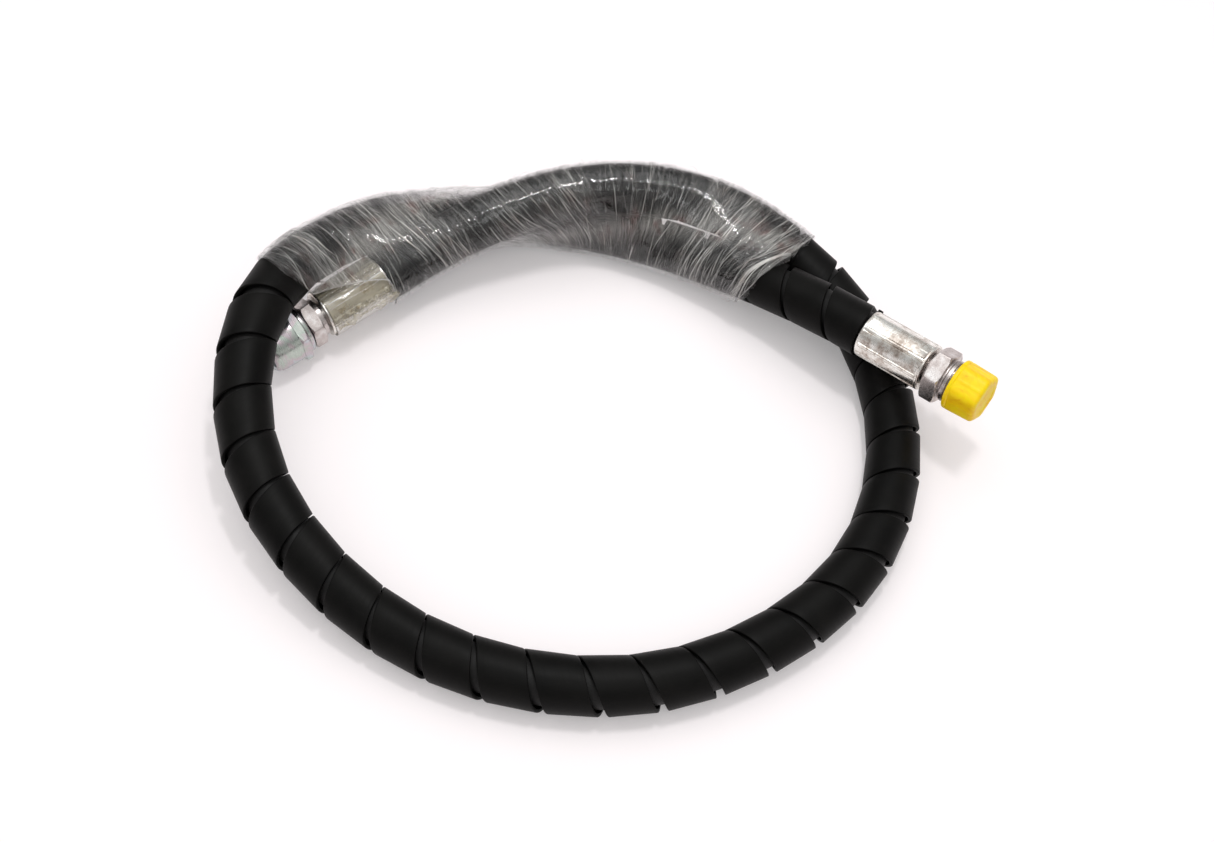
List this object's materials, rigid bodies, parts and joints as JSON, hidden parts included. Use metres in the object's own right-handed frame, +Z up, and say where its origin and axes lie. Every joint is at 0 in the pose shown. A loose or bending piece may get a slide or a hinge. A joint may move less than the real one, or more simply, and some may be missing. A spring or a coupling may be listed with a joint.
{
  "type": "hydraulic hose assembly",
  "caption": "Two-braid hydraulic hose in a black spiral guard, laid in one loop, with a swivel nut on one end and a capped male fitting on the other.",
  "frame": {"origin": "middle of the overall box on the surface that the hose lies on", "axes": "+X to the capped end, +Z up"},
  "size_m": [0.4004, 0.33, 0.0653],
  "materials": {
    "rubber": "matt black",
    "braid_wire": "brass-coated wire",
    "guard_plastic": "satin black",
    "zinc_steel": "zinc plated, scuffed",
    "insert_steel": "zinc plated",
    "passivated_steel": "rainbow passivated",
    "clear_tape": "clear, yellowed",
    "yellow_plastic": "satin yellow",
    "clear_film": "clear, glossy"
  },
  "bodies": {
    "hose": {"inner_tube": "rubber", "inner_wire_braid": "braid_wire", "separation_layer": "rubber", "outer_wire_braid": "braid_wire", "outer_cover": "rubber", "spiral_guard": "guard_plastic", "left_ferrule": "zinc_steel", "left_insert": "insert_steel", "cone_o_ring": "rubber", "clear_tape": "clear_tape", "right_ferrule": "zinc_steel", "right_insert": "insert_steel", "stretch_film": "clear_film"},
    "nut": {"swivel_nut": "passivated_steel"},
    "cap": {"protective_cap": "yellow_plastic"}
  },
  "joints": [
    {"name": "nut_swivel", "type": "hinge", "parent": "hose", "child": "nut", "pos_m": [-0.16306, 0.03867, 0.02144], "axis": [-0.6771, -0.7298, -0.0944], "continuous": true},
    {"name": "cap_pull", "type": "slide", "parent": "hose", "child": "cap", "axis": [0.8267, -0.5473, 0.1304], "range_m": [0, 0.03]}
  ]
}
